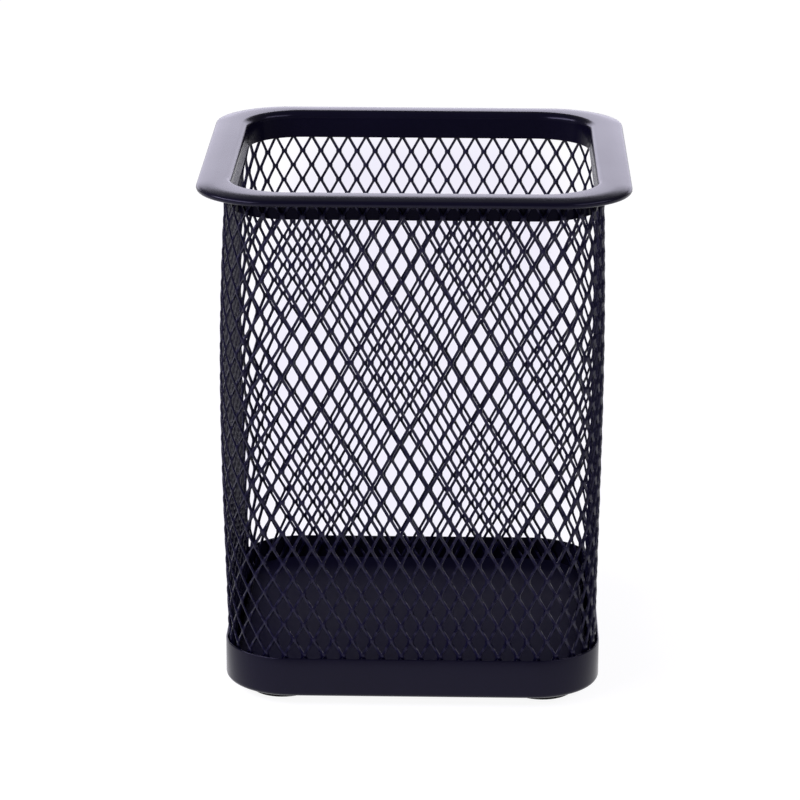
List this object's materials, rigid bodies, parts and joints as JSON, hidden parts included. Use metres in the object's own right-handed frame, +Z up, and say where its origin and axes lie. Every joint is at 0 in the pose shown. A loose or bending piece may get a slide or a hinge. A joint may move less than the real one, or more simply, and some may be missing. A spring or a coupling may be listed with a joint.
{
  "type": "mesh pen holder",
  "caption": "Square open-topped desk cup for pens: black steel rim with rounded corners, diamond expanded-mesh walls, pressed steel pan base and round feet.",
  "frame": {"origin": "on the desk plane under the feet, below the middle of the cup", "axes": "+Z up along the cup's axis; -Y faces the viewer in the picture, +X to the viewer's right"},
  "size_m": [0.08, 0.08, 0.0995],
  "materials": {
    "painted_steel": "satin black paint on pressed sheet steel",
    "painted_mesh": "satin black paint on expanded steel mesh",
    "weld_steel": "spot welds painted over with the rest",
    "foot_rubber": "matt black rubber"
  },
  "bodies": {
    "root": {"rim_frame": "painted_steel", "mesh_wall_front": "painted_mesh", "mesh_wall_right": "painted_mesh", "mesh_wall_rear": "painted_mesh", "mesh_wall_left": "painted_mesh", "mesh_corner_front_right": "painted_mesh", "mesh_corner_rear_right": "painted_mesh", "mesh_corner_rear_left": "painted_mesh", "mesh_corner_front_left": "painted_mesh", "base_pan": "painted_steel", "rim_spot_welds": "weld_steel", "base_spot_welds": "weld_steel", "foot_front_right": "foot_rubber", "foot_rear_right": "foot_rubber", "foot_rear_left": "foot_rubber", "foot_front_left": "foot_rubber"}
  },
  "joints": []
}
